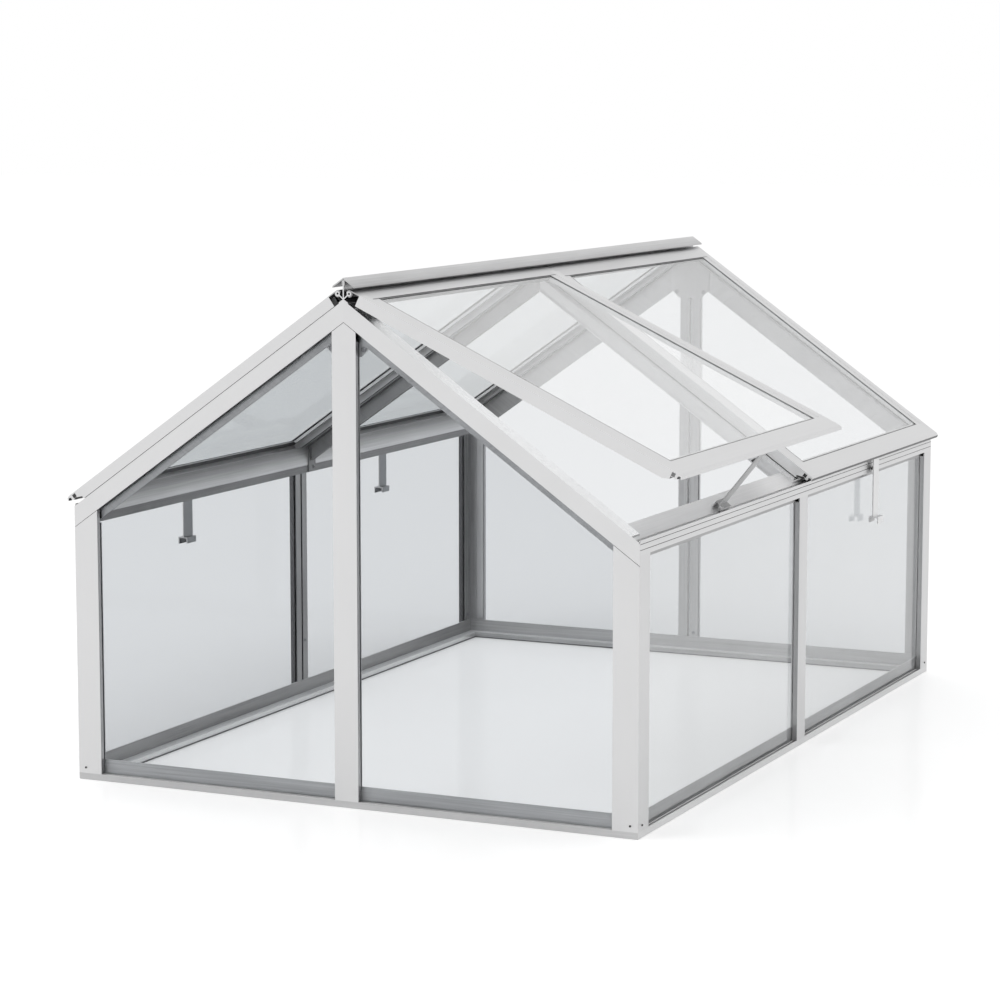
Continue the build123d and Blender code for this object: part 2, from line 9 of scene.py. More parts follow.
import bpy
from mathutils import Euler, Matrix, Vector


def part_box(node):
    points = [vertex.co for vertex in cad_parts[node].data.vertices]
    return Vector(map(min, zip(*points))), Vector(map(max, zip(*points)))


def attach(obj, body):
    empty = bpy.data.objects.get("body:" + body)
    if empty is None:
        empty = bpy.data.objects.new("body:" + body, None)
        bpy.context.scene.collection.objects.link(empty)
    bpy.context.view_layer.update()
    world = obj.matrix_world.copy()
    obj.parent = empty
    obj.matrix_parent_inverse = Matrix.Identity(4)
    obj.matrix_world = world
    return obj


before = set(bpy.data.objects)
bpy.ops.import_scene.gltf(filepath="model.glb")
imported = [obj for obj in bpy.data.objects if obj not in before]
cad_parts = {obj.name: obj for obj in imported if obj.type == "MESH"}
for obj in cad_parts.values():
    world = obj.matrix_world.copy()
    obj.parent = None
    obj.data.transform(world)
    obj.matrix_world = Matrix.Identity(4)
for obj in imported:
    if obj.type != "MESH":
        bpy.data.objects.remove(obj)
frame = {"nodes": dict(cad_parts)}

log = logging.getLogger("greenhouse")

Point = tuple[float, float, float]
Colour = tuple[float, float, float]
Socket = bpy.types.NodeSocket
Material = bpy.types.Material
Object = bpy.types.Object

ORIGIN = (0.0, 0.0, 0.0)
WHITE = (1.0, 1.0, 1.0, 1.0)
SIDES = (("left", -1), ("right", 1))
ENDS = (("front", -1), ("back", 1))

# The frame in metres: X across, Y along the ridge, Z up. SHEET is the metal's thickness.
HALF_WIDTH = 0.5
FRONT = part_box("front_left_corner_post")[0][1]
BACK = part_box("back_left_corner_post")[1][1]
MIDDLE = (FRONT + BACK) / 2
HALF_SPAN = (BACK - FRONT) / 2
SHEET = 0.002

# Depths in from the outer skin of a wall.
GLASS_DEPTH = 0.0088
INNER_BACK = 0.0141
LEDGE_EDGE = 0.0341

# The eave rails: the inner face of the box, and the heights where their faces change.
EAVE_BOX_FACE = 0.4639
EAVE_BOTTOM = 0.437
EAVE_GROOVE_HEIGHT = 0.4435
EAVE_GUTTER = 0.457

# The roof lids and their stays.
PITCH = math.radians(35.1446)
PROPPED_PITCH = PITCH - math.radians(10.0)
HINGE_X = 0.010
HINGE_Z = 0.818
LID_CENTRE = 0.37625
LID_SIDE_DEPTH = 0.003
STAY_TILT = math.radians(38.88)
STAY_PLATE = 0.100
STAY_FOOT_HALF = 0.001

# When a face counts as lying in a plane, as sloping up or down, and as looking along an axis.
NEAR = 0.0004
SLOPING = 0.25
ALONG = 0.5
CAP_UNDERSIDE = -0.1
PORT_HALF = 0.0028


class Grain(Enum):
    """The way a brushed surface runs, as the turn that lays that way along local X."""

    ALONG_X = (0.0, 0.0, 0.0)
    ALONG_Y = (0.0, 0.0, math.pi / 2)
    ALONG_Z = (0.0, math.pi / 2, 0.0)
    DOWN_RIGHT = (0.0, PITCH, 0.0)
    DOWN_LEFT = (0.0, -PITCH, 0.0)
    DOWN_PROPPED = (0.0, PROPPED_PITCH, 0.0)


class Tone(Enum):
    """Painted light and shade on one aluminium, made paler or darker on each kind of face by the
    way it looks and how deep it lies: drawn colour, shade, roughness and metallic.
    """

    SKIN = (0.705, 0.670, 0.45, 1.0)
    SIDE_SKIN = (0.690, 0.655, 0.45, 1.0)
    EAVE_SKIN = (0.710, 0.670, 0.45, 1.0)
    LID_SKIN = (0.697, 0.662, 0.42, 1.0)
    LID_SIDE = (0.880, 0.800, 0.38, 0.6)
    CAP = (0.690, 0.460, 0.36, 1.0)
    TOP_RAIL = (0.690, 0.560, 0.38, 1.0)
    TOP = (0.980, 0.950, 0.24, 1.0)
    BAND = (0.900, 0.750, 0.40, 0.8)
    LIP = (0.590, 0.480, 0.42, 1.0)
    SIDE_LIP = (0.740, 0.680, 0.42, 1.0)
    LEDGE = (0.950, 0.880, 0.30, 0.8)
    LEDGE_TOP = (0.980, 0.950, 0.45, 0.0)
    BASE_WALL = (0.520, 0.300, 0.38, 0.5)
    BASE_BACK = (0.740, 0.440, 0.40, 0.4)
    STAY = (0.540, 0.420, 0.42, 1.0)
    STAY_FACE = (0.760, 0.710, 0.42, 0.9)
    INNER_GABLE = (0.640, 0.430, 0.36, 1.0)
    INNER_WALL = (0.450, 0.270, 0.34, 1.0)
    BOX_HIGH = (0.880, 0.560, 0.34, 0.8)
    GUSSET = (0.640, 0.520, 0.38, 0.5)
    RAFTER_SIDE = (0.900, 0.800, 0.38, 0.5)
    RAFTER_SHADED = (0.480, 0.340, 0.38, 0.7)
    BOX_LOW = (0.300, 0.170, 0.34, 1.0)
    INNER = (0.560, 0.360, 0.34, 1.0)
    UNDER = (0.140, 0.100, 0.40, 1.0)
    SLOT = (0.100, 0.080, 0.45, 1.0)


@dataclass(frozen=True)
class Fade:
    """Painted shade that darkens a tone with height, from the full tone at one height to a share of
    it at another.
    """

    start: float
    stop: float
    share: float


# Painted shade: the high face of the eave box darkens towards its top, and the ridge cap towards
# its lower edges.
FADES = {
    Tone.BOX_HIGH: Fade(start=EAVE_GROOVE_HEIGHT + 0.004, stop=0.474, share=0.38),
    Tone.CAP: Fade(start=0.842, stop=0.829, share=0.78),
}


# ---- node helpers
@dataclass
class Shader:
    """Node tree of a material or a world, with short calls to add and join nodes."""

    owner: Material | bpy.types.World
    output: bpy.types.Node = field(init=False)

    def __post_init__(self) -> None:
        """Empties the tree and gives it its output node."""
        self.owner.use_nodes = True
        self.owner.node_tree.nodes.clear()
        kind = "World" if isinstance(self.owner, bpy.types.World) else "Material"
        self.output = self.add(f"ShaderNodeOutput{kind}")

    def feed(self, target: Socket, value: object) -> None:
        """Joins an input socket to another socket, or gives it a value.

        Args:
            target: the input socket.
            value: the value, or the socket to join, or a node in place of its first output.
        """
        if isinstance(value, bpy.types.Node):
            value = value.outputs[0]
        if isinstance(value, Socket):
            self.owner.node_tree.links.new(value, target)
        else:
            target.default_value = value

    def add(self, kind: str, *inputs: object, **values: object) -> bpy.types.Node:
        """Adds one node.

        Args:
            kind: the node's Blender type.
            inputs: what its inputs take, in the node's order.
            values: node attributes, or what its inputs take by name, with spaces as underscores.

        Returns:
            The new node.
        """
        node = self.owner.node_tree.nodes.new(kind)
        for key, value in values.items():
            target = node.inputs.get(key.replace("_", " "))
            if target is None:
                setattr(node, key, value)
            else:
                self.feed(target, value)
        for target, value in zip(node.inputs, inputs):
            self.feed(target, value)
        return node

    def maths(self, operation: str, *inputs: Socket | float) -> Socket:
        """The result of a Math node."""
        return self.add("ShaderNodeMath", *inputs, operation=operation).outputs[0]

    def close(self, surface: bpy.types.Node) -> Material | bpy.types.World:
        """Joins the surface to the output and returns the finished material or world."""
        self.feed(self.output.inputs["Surface"], surface)
        return self.owner

    def axis(self, name: str) -> Socket:
        """One of the object coordinates, by its name X, Y or Z."""
        point = self.add("ShaderNodeTexCoord").outputs["Object"]
        return self.add("ShaderNodeSeparateXYZ", Vector=point).outputs[name]

    def object_point(self, turn: Point = ORIGIN, scale: Point = (1.0, 1.0, 1.0)) -> Socket:
        """Object coordinates, turned and stretched.

        Args:
            turn: rotation that lays the pattern's X along the grain.
            scale: stretch of each turned axis.

        Returns:
            The vector socket to read a texture with.
        """
        point = self.add("ShaderNodeTexCoord").outputs["Object"]
        turned = self.add("ShaderNodeMapping", Vector=point, Rotation=turn)
        return self.add("ShaderNodeMapping", Vector=turned, Scale=scale).outputs["Vector"]

    def noise(self, vector: Socket, scale: float, detail: float = 2.0,
              roughness: float = 0.5) -> Socket:
        """A noise texture.

        Args:
            vector: where to read it.
            scale: features per metre of the vector's space.
            detail: number of finer layers.
            roughness: strength of the finer layers.

        Returns:
            The noise as a value socket from 0 to 1.
        """
        texture = self.add("ShaderNodeTexNoise", Vector=vector, Scale=scale, Detail=detail,
                           Roughness=roughness)
        return texture.outputs["Fac"]

    def remap(self, value: Socket, low: float, high: float,
              start: float = 0.3, stop: float = 0.7) -> Socket:
        """Maps a value's middle range on to new limits.

        Args:
            value: the value to map.
            low: result at start.
            high: result at stop.
            start: one end of the value.
            stop: the other end of the value.

        Returns:
            The mapped value socket.
        """
        node = self.add("ShaderNodeMapRange", Value=value, From_Min=start, From_Max=stop,
                        To_Min=low, To_Max=high)
        return node.outputs["Result"]

    def blend(self, factor: Socket, first: Colour, second: Colour) -> Socket:
        """A colour between two, by a factor.

        Args:
            factor: 0 gives the first colour and 1 the second.
            first: colour at 0.
            second: colour at 1.

        Returns:
            The colour socket.
        """
        mix = self.add("ShaderNodeMix", data_type="RGBA", Factor=factor)
        targets = [socket for socket in mix.inputs if socket.type == "RGBA"]
        for target, colour in zip(targets, (first, second)):
            target.default_value = (*colour, 1.0)
        return next(socket for socket in mix.outputs if socket.type == "RGBA")

    def bump(self, height: Socket, distance: float) -> Socket:
        """A normal from a height, where distance is the metres that a height of 1 stands for."""
        node = self.add("ShaderNodeBump", Height=height, Distance=distance, Strength=1.0)
        return node.outputs["Normal"]


# ---- finishes
@dataclass(frozen=True)
class BrushedAluminium:
    """Mill aluminium with fine drawing lines along the extrusion, and painted shade that darkens it
    with height where a fade is given.
    """

    name: str
    colour: Colour
    shade: Colour
    grain: Grain
    roughness: float
    metallic: float
    fade: Fade | None
    line_stretch: Point = (1.2, 110.0, 110.0)
    cloud_stretch: Point = (2.0, 9.0, 9.0)
    line_share: float = 0.55
    cloud_share: float = 0.45
    speck_share: float = 0.25
    smoother: float = 0.06
    rougher: float = 0.08
    line_depth: float = 0.00002

    def faded(self, shader: Shader, colour: Socket) -> Socket:
        """Darkens a colour between the two heights of the fade, as painted shade.

        Args:
            shader: the material's tree.
            colour: the colour to darken.

        Returns:
            The darkened colour socket.
        """
        fade = self.fade
        share = shader.remap(shader.axis("Z"), 1.0, fade.share, fade.start, fade.stop)
        darker = shader.add("ShaderNodeVectorMath", colour, operation="SCALE", Scale=share)
        return darker.outputs[0]

    def build(self) -> Material:
        """Builds the material.

        Returns:
            A material with drawn lines, faint clouding and matching roughness.
        """
        shader = Shader(bpy.data.materials.new(self.name))
        turn = self.grain.value
        lines = shader.noise(shader.object_point(turn, self.line_stretch),
                             scale=4.0, detail=4.0, roughness=0.6)
        cloud = shader.noise(shader.object_point(turn, self.cloud_stretch),
                             scale=1.6, detail=3.0, roughness=0.55)
        speck = shader.noise(shader.object_point(), scale=900.0)
        clouding = shader.maths("MULTIPLY", cloud, self.cloud_share)
        pattern = shader.maths("MULTIPLY_ADD", lines, self.line_share, clouding)
        mix = shader.remap(pattern, 0.0, 1.0, start=0.32, stop=0.68)
        colour = shader.blend(mix, self.shade, self.colour)
        if self.fade:
            colour = self.faded(shader, colour)
        relief = shader.maths("MULTIPLY_ADD", speck, self.speck_share, lines)
        return shader.close(shader.add(
            "ShaderNodeBsdfPrincipled", Metallic=self.metallic, Base_Color=colour,
            Roughness=shader.remap(lines, self.roughness - self.smoother,
                                   self.roughness + self.rougher),
            Normal=shader.bump(relief, self.line_depth)))


@dataclass(frozen=True)
class ClearGlass:
    """Clear horticultural glass that lamps shine through."""

    name: str
    tint: Colour
    lamp_tint: Colour
    ior: float
    roughness: float = 0.0
    wave_depth: float = 0.00006

    def build(self) -> Material:
        """Builds the material.

        Returns:
            Smooth glass, with a see-through shader in its place for rays from lamps.
        """
        shader = Shader(bpy.data.materials.new(self.name))
        wave = shader.noise(shader.object_point(), scale=5.0, detail=1.0, roughness=0.4)
        sheet = shader.add(
            "ShaderNodeBsdfPrincipled", Base_Color=(*self.tint, 1.0), Roughness=self.roughness,
            IOR=self.ior, Transmission_Weight=1.0, Normal=shader.bump(wave, self.wave_depth))
        open_way = shader.add("ShaderNodeBsdfTransparent", Color=(*self.lamp_tint, 1.0))
        path = shader.add("ShaderNodeLightPath")
        return shader.close(shader.add(
            "ShaderNodeMixShader", path.outputs["Is Shadow Ray"], sheet, open_way))


@dataclass(frozen=True)
class Rubber:
    """Matt grey rubber of the glazing strips, slightly dusty."""

    name: str
    colour: Colour = (0.17, 0.172, 0.175)
    dust: Colour = (0.25, 0.25, 0.25)
    roughness: float = 0.72
    pit_depth: float = 0.00003

    def build(self) -> Material:
        """Builds the material.

        Returns:
            A matt grey material with fine pitting and pale dust.
        """
        shader = Shader(bpy.data.materials.new(self.name))
        dust = shader.noise(shader.object_point(), scale=60.0, detail=4.0, roughness=0.6)
        pits = shader.noise(shader.object_point(), scale=1500.0)
        dusting = shader.remap(dust, 0.0, 1.0, start=0.4, stop=0.7)
        return shader.close(shader.add(
            "ShaderNodeBsdfPrincipled", Base_Color=shader.blend(dusting, self.colour, self.dust),
            Roughness=self.roughness, Normal=shader.bump(pits, self.pit_depth)))


@dataclass(frozen=True)
class PlatedSteel:
    """Zinc-plated steel of the screws and bolts, with a mottled bloom."""

    name: str
    colour: Colour = (0.42, 0.42, 0.43)
    bloom: Colour = (0.22, 0.22, 0.23)
    roughness: tuple[float, float] = (0.28, 0.44)
    mark_depth: float = 0.00002

    def build(self) -> Material:
        """Builds the material.

        Returns:
            A metal with a cloudy bloom and fine turning marks.
        """
        shader = Shader(bpy.data.materials.new(self.name))
        bloom = shader.noise(shader.object_point(), scale=420.0, detail=3.0, roughness=0.6)
        marks = shader.noise(shader.object_point(), scale=2600.0)
        colour = shader.blend(shader.remap(bloom, 0.0, 1.0), self.bloom, self.colour)
        return shader.close(shader.add(
            "ShaderNodeBsdfPrincipled", Metallic=1.0, Base_Color=colour,
            Roughness=shader.remap(bloom, *self.roughness),
            Normal=shader.bump(marks, self.mark_depth)))


class Pane(Enum):
    """Copies of one clear glass, tinted darker or paler pane by pane as painted shade and light,
    each with its own index, which sets how strongly it reflects: colour seen through, colour that
    lamps pass, and index.
    """

    WALL = ((0.803, 0.815, 0.827), (0.93, 0.94, 0.945), 1.10)
    RIGHT_WALL = ((0.775, 0.785, 0.792), (0.93, 0.94, 0.945), 1.35)
    LEFT_LID = ((0.650, 0.670, 0.680), (0.93, 0.94, 0.945), 1.03)
    RIGHT_LID = ((0.950, 0.955, 0.958), (0.94, 0.95, 0.95), 1.7)


Finish = BrushedAluminium | ClearGlass | Rubber | PlatedSteel


@dataclass
class FinishRack:
    """Keeps each finish that has been built, so that pieces share them."""

    blue_cast: float = 0.004
    built: dict[str, Material] = field(default_factory=dict)

    def shared(self, finish: Finish) -> Material:
        """Builds a finish the first time that it is asked for.

        Args:
            finish: the finish.

        Returns:
            Its one material.
        """
        if finish.name not in self.built:
            self.built[finish.name] = finish.build()
        return self.built[finish.name]

    def metal(self, tone: Tone, grain: Grain) -> Material:
        """The aluminium finish for one kind of face.

        Args:
            tone: how pale the face is painted, for the light and shade on it.
            grain: the way the piece was drawn.

        Returns:
            The shared material.
        """
        pale, shade, roughness, metallic = tone.value
        return self.shared(BrushedAluminium(
            f"aluminium_{tone.name.lower()}_{grain.name.lower()}",
            (pale, pale, pale + self.blue_cast), (shade, shade, shade + self.blue_cast),
            grain, roughness, metallic, FADES.get(tone)))

    def glass(self, pane: Pane) -> Material:
        """The shared glass finish for one kind of pane."""
        return self.shared(ClearGlass(f"glass_{pane.name.lower()}", *pane.value))

    def rubber(self) -> Material:
        """The shared finish of the glazing strips, of the plugs of the propped lid, and of the
        painted contact shadow round the foot of the ledge.
        """
        return self.shared(Rubber("glazing_rubber"))

    def plated_steel(self) -> Material:
        """The shared finish of the screws and bolts."""
        return self.shared(PlatedSteel("plated_steel"))

    def dark_steel(self) -> Material:
        """The shared finish of the blackened pins and stops, and of the plugs on the closed lids,
        which are dark there as painted shade.
        """
        return self.shared(PlatedSteel("dark_steel", colour=(0.10,) * 3, bloom=(0.03,) * 3))


# ---- roof lids
@dataclass(frozen=True)
class Lid:
    """Place of one roof lid, and its sizes in the lid's own directions."""

    name: str
    side: int
    centre_y: float
    angle: float
    half_length: float = 0.37375
    nose: float = 0.61512
    groove_back: float = 0.005
    groove_drop: float = 0.0006
    groove_radius: float = 0.0031
    glass_face: float = 0.00387
    head_margin: float = 0.031
    foot_margin: float = 0.0395
    side_margin: float = 0.041

    def point(self, along: float, above: float, across: float = 0.0) -> Point:
        """A place in the model from a place on the lid.

        Args:
            along: distance down the slope from the hinge.
            above: height square above the hinge plane.
            across: distance along the ridge from the middle of the lid.

        Returns:
            The place.
        """
        x = HINGE_X + along * math.cos(self.angle) + above * math.sin(self.angle)
        z = HINGE_Z - along * math.sin(self.angle) + above * math.cos(self.angle)
        return (self.side * x, self.centre_y + across, z)

    @property
    def turn(self) -> Point:
        """The lid's turn from level."""
        return (0.0, self.side * self.angle, 0.0)

    @property
    def is_propped(self) -> bool:
        """Whether the lid stands open on its stay."""
        return self.angle < PITCH

    @property
    def groove(self) -> Vector:
        """Middle of the nose groove, which the head of the stay turns in."""
        return Vector(self.point(self.nose - self.groove_back, -self.groove_drop))

    @property
    def stay_tilt(self) -> float:
        """The stay's lean from plumb."""
        return STAY_TILT if self.is_propped else 0.0

    @property
    def stay_down(self) -> Vector:
        """The way from the head of the stay to its foot."""
        return Vector((-self.side * math.sin(self.stay_tilt), 0.0, -math.cos(self.stay_tilt)))

    @property
    def stay_outward(self) -> Vector:
        """The way that the outer face of the stay looks."""
        return Vector((self.side * math.cos(self.stay_tilt), 0.0, -math.sin(self.stay_tilt)))


LIDS = tuple(
    Lid(f"{end}_{side_name}", side, MIDDLE + way * LID_CENTRE,
        PROPPED_PITCH if (end, side) == ("front", 1) else PITCH)
    for end, way in ENDS
    for side_name, side in SIDES
)


def lid_of(node: str) -> Lid:
    """The lid that a node's name says it belongs to."""
    return next(lid for lid in LIDS if node.startswith(lid.name))


# ---- dressing the frame
@dataclass(frozen=True)
class Face:
    """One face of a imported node, with what the choice of its tone asks about it."""

    node: str
    centre: Vector
    normal: Vector

    @property
    def gable_depth(self) -> float:
        """Distance in from the nearer gable."""
        return min(abs(self.centre.y - FRONT), abs(self.centre.y - BACK))

    @property
    def side_depth(self) -> float:
        """Distance in from the nearer side wall."""
        return HALF_WIDTH - abs(self.centre.x)

    @property
    def looks_up(self) -> bool:
        """Whether it slopes or lies facing up."""
        return self.normal.z > SLOPING

    @property
    def looks_down(self) -> bool:
        """Whether it slopes or lies facing down."""
        return self.normal.z < -SLOPING

    @property
    def looks_in_y(self) -> bool:
        """Whether it looks along the ridge, towards the middle of the greenhouse."""
        return self.normal.y * (MIDDLE - self.centre.y) > 0.0 and abs(self.normal.y) > ALONG

    @property
    def looks_in_x(self) -> bool:
        """Whether it looks across, towards the middle of the greenhouse."""
        return self.normal.x * self.centre.x < 0.0 and abs(self.normal.x) > ALONG


@dataclass
class FrameDresser:
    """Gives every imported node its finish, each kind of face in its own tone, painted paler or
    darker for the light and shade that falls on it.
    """

    rack: FinishRack

    def grain_of(self, node: str) -> Grain:
        """The way a node was drawn, from its name.

        Args:
            node: the node's name.

        Returns:
            The grain of its metal.
        """
        if "side_rails" in node or "rafter" in node:
            if node == "front_right_lid_side_rails":
                return Grain.DOWN_PROPPED
            return Grain.DOWN_RIGHT if "right" in node else Grain.DOWN_LEFT
        if "post" in node or "stay" in node or "gusset" in node:
            return Grain.ALONG_Z
        if node in ("front_base_rail", "back_base_rail"):
            return Grain.ALONG_X
        return Grain.ALONG_Y

    def lid_tone(self, face: Face) -> Tone:
        """The painted tone of a face of a lid rail, with painted shade on faces that look down and
        in the groove of its nose, and painted light on the end faces of its rails.

        Args:
            face: the face.

        Returns:
            The face's tone.
        """
        lid = lid_of(face.node)
        from_groove = face.centre - lid.groove
        in_groove = math.hypot(from_groove.x, from_groove.z) < lid.groove_radius
        is_end = abs(face.normal.y) > ALONG
        if face.looks_down or face.node.endswith("bottom_rail") and in_groove and not is_end:
            return Tone.UNDER
        if face.node.endswith("top_rail"):
            return Tone.TOP_RAIL if face.looks_up else Tone.INNER
        looks_out = face.normal.x * lid.side > ALONG
        if face.looks_up or looks_out or face.gable_depth < LID_SIDE_DEPTH:
            return Tone.LID_SKIN
        return Tone.LID_SIDE if is_end else Tone.INNER

    def stay_tone(self, face: Face) -> Tone:
        """The painted tone of a face of a stay, with painted shade inside its channel foot, and
        painted light on the stay that hangs on the right and on the outer faces of hanging stays.

        Args:
            face: the face.

        Returns:
            The face's tone.
        """
        lid = lid_of(face.node)
        from_head = face.centre - lid.groove
        from_head.y = 0.0
        outward = lid.stay_outward
        in_foot = from_head.dot(lid.stay_down) > STAY_PLATE
        looks_in = face.normal.dot(outward) * from_head.dot(outward) < -STAY_FOOT_HALF
        hangs_right = lid.side > 0 and not lid.is_propped
        if in_foot and (looks_in or face.normal.dot(lid.stay_down) > ALONG):
            return Tone.STAY if hangs_right else Tone.UNDER
        looks_out = face.normal.x * lid.side > ALONG and not lid.is_propped
        return Tone.STAY_FACE if hangs_right or looks_out else Tone.STAY

    def outer_tone(self, face: Face) -> Tone | None:
        """The painted tone of a face on the outer skin of the frame, paler or darker by the way it
        looks.

        Args:
            face: the face.

        Returns:
            The face's tone, or None for a face inside the skin.
        """
        if face.gable_depth < NEAR and abs(face.normal.y) > ALONG:
            return Tone.LIP if "base" in face.node else Tone.SKIN
        if abs(face.side_depth) < NEAR / 2 and abs(face.normal.x) > ALONG:
            if "base" in face.node:
                return Tone.SIDE_LIP
            return Tone.EAVE_SKIN if "eave" in face.node else Tone.SIDE_SKIN
        return None

    def base_tone(self, face: Face) -> Tone:
        """The painted tone of a face of a base rail inside its skin, with painted light on faces
        that look up and on the ledge, and painted shade on the inner wall.

        Args:
            face: a face that doesn't look down.

        Returns:
            The face's tone.
        """
        if face.looks_up:
            return Tone.LEDGE_TOP
        on_gable = "back" in face.node or "front" in face.node
        if on_gable or not face.looks_in_x:
            return Tone.BASE_BACK
        return Tone.LEDGE if face.side_depth > LEDGE_EDGE - NEAR else Tone.BASE_WALL

    def eave_tone(self, face: Face) -> Tone:
        """The painted tone of a face of an eave rail inside its skin, with painted light on its
        band and gutter and painted shade in its box.

        Args:
            face: a face that doesn't look down.

        Returns:
            The face's tone.
        """
        height = face.centre.z
        if face.side_depth < 2 * NEAR:
            return Tone.UNDER
        if height > EAVE_GUTTER and face.side_depth < INNER_BACK or face.looks_up:
            return Tone.BAND
        if not face.looks_in_x:
            return Tone.INNER_WALL if height < EAVE_BOTTOM else Tone.BAND
        if abs(abs(face.centre.x) - EAVE_BOX_FACE) < 2 * NEAR:
            return Tone.BOX_LOW if height < EAVE_GROOVE_HEIGHT else Tone.BOX_HIGH
        return self.wall_tone(face) or Tone.INNER

    def wall_tone(self, face: Face) -> Tone | None:
        """The painted tone of a face that looks in from just behind the skin of a wall, with
        painted shade in the glass slot and on the inner faces behind it.

        Args:
            face: the face.

        Returns:
            The face's tone, or None for a face that doesn't.
        """
        gable, side = face.looks_in_y, face.looks_in_x
        if (gable and abs(face.gable_depth - SHEET) < NEAR
                or side and abs(face.side_depth - SHEET) < NEAR):
            return Tone.SLOT
        if gable and face.gable_depth < 2 * INNER_BACK:
            return Tone.INNER_GABLE
        if side and face.side_depth < 2 * INNER_BACK:
            return Tone.INNER_WALL
        return None

    def post_tone(self, face: Face) -> Tone:
        """The painted tone of a face of a post that doesn't look in from its wall, with painted
        shade on the left posts' front faces and painted light on most faces of the right posts.

        Args:
            face: the face.

        Returns:
            The face's tone.
        """
        looks_front = face.normal.y < -ALONG
        if "left" in face.node and looks_front:
            return Tone.UNDER
        if "right" in face.node and face.normal.x > ALONG:
            return Tone.LEDGE_TOP
        if "right" in face.node and looks_front:
            return Tone.INNER if face.side_depth < GLASS_DEPTH else Tone.LEDGE_TOP
        return Tone.INNER

    def inner_tone(self, face: Face) -> Tone:
        """The painted tone of a face of the frame inside its outer skin, with painted shade on
        faces that look down and painted light on the tops of rafters.

        Args:
            face: the face.

        Returns:
            The face's tone.
        """
        if face.looks_down:
            return Tone.UNDER
        if "base" in face.node:
            return self.base_tone(face)
        if "eave" in face.node:
            return self.eave_tone(face)
        if face.looks_up:
            return Tone.TOP if "rafter" in face.node else Tone.INNER
        if "mid_rafter" in face.node:
            return Tone.RAFTER_SIDE if "right" in face.node else Tone.RAFTER_SHADED
        if "centre_post" in face.node and abs(face.centre.x) < PORT_HALF:
            return Tone.LEDGE_TOP
        others = self.post_tone(face) if "post" in face.node else Tone.INNER
        return self.wall_tone(face) or others

    def tone_of(self, face: Face) -> Tone:
        """The tone of one face of one node.

        Args:
            face: the face.

        Returns:
            The face's tone.
        """
        if "_lid_" in face.node:
            return self.lid_tone(face)
        if face.node.endswith("stay"):
            return self.stay_tone(face)
        # The ridge cap's underside takes a dark tone as painted shade.
        if face.node == "ridge_cap":
            return Tone.CAP if face.normal.z > CAP_UNDERSIDE else Tone.BOX_LOW
        if "gusset" in face.node:
            return Tone.GUSSET
        return self.outer_tone(face) or self.inner_tone(face)

    def dress(self, node: str, obj: Object) -> None:
        """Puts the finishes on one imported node.

        Args:
            node: the node's name.
            obj: its object.
        """
        mesh = obj.data
        mesh.materials.clear()
        if node.endswith("glass"):
            pane = Pane.RIGHT_WALL if node == "right_wall_glass" else Pane.WALL
            if "_lid_" in node:
                pane = Pane.RIGHT_LID if "right" in node else Pane.LEFT_LID
            mesh.materials.append(self.rack.glass(pane))
            return
        grain = self.grain_of(node)
        slots: dict[Tone, int] = {}
        for polygon in mesh.polygons:
            tone = self.tone_of(Face(node, polygon.center, polygon.normal))
            if tone not in slots:
                slots[tone] = len(slots)
                mesh.materials.append(self.rack.metal(tone, grain))
            polygon.material_index = slots[tone]

    def dress_all(self, nodes: dict[str, Object]) -> None:
        """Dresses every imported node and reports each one.

        Args:
            nodes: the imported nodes' objects by name.
        """
        for node, obj in nodes.items():
            self.dress(node, obj)
            log.info("dressed %s", node)


# ---- small pieces
def start_piece(name: str, add: Callable[..., object], **shape: object) -> Object:
    """Adds a primitive at the origin and opens it in edit mode, with all of it selected.

    Args:
        name: the piece's name.
        add: the operator that adds the primitive.
        shape: the operator's own settings.

    Returns:
        The open piece.
    """
    bpy.ops.object.select_all(action="DESELECT")
    add(location=ORIGIN, **shape)
    piece = bpy.context.object
    piece.name = name
    bpy.ops.object.transform_apply(location=False, rotation=True, scale=False)
    bpy.ops.object.mode_set(mode="EDIT")
    bpy.ops.mesh.select_all(action="SELECT")
    return piece


def close_piece() -> None:
    """Turns the faces of the open piece outwards and leaves edit mode."""
    bpy.ops.mesh.select_all(action="SELECT")
    bpy.ops.mesh.normals_make_consistent(inside=False)
    bpy.ops.object.mode_set(mode="OBJECT")


def thicken_piece(thickness: float) -> None:
    """Raises the open flat piece to its thickness and closes it.

    Args:
        thickness: how far its upper side is from its lower one.
    """
    bpy.ops.mesh.select_all(action="SELECT")
    bpy.ops.mesh.extrude_region_move(TRANSFORM_OT_translate={"value": (0.0, 0.0, thickness)})
    close_piece()


def thin_frame(name: str, length: float, reach: float, width: float,
               height: float) -> Object:
    """Models a strip that runs round the inside of a rectangle.

    Args:
        name: the piece's name.
        length: size of the rectangle in X.
        reach: size of the rectangle in Y.
        width: width of the strip.
        height: height of the strip over the rectangle.

    Returns:
        The strip, with the middle of the rectangle at the origin.
    """
    strip = start_piece(name, bpy.ops.mesh.primitive_plane_add, size=1.0)
    bpy.ops.transform.resize(value=(length, reach, 1.0))
    bpy.ops.mesh.inset(thickness=width)
    bpy.ops.mesh.delete(type="FACE")
    thicken_piece(height)
    return strip


def settle(piece: Object, at: Point, turn: Point = ORIGIN) -> None:
    """Turns and moves a piece into place and writes the place into its mesh.

    Args:
        piece: the piece, modelled round the origin.
        at: where its origin goes.
        turn: its turn, as Euler angles.
    """
    bpy.ops.object.select_all(action="DESELECT")
    piece.select_set(True)
    bpy.context.view_layer.objects.active = piece
    piece.rotation_euler = turn
    piece.location = at
    bpy.ops.object.transform_apply(location=True, rotation=True, scale=True)


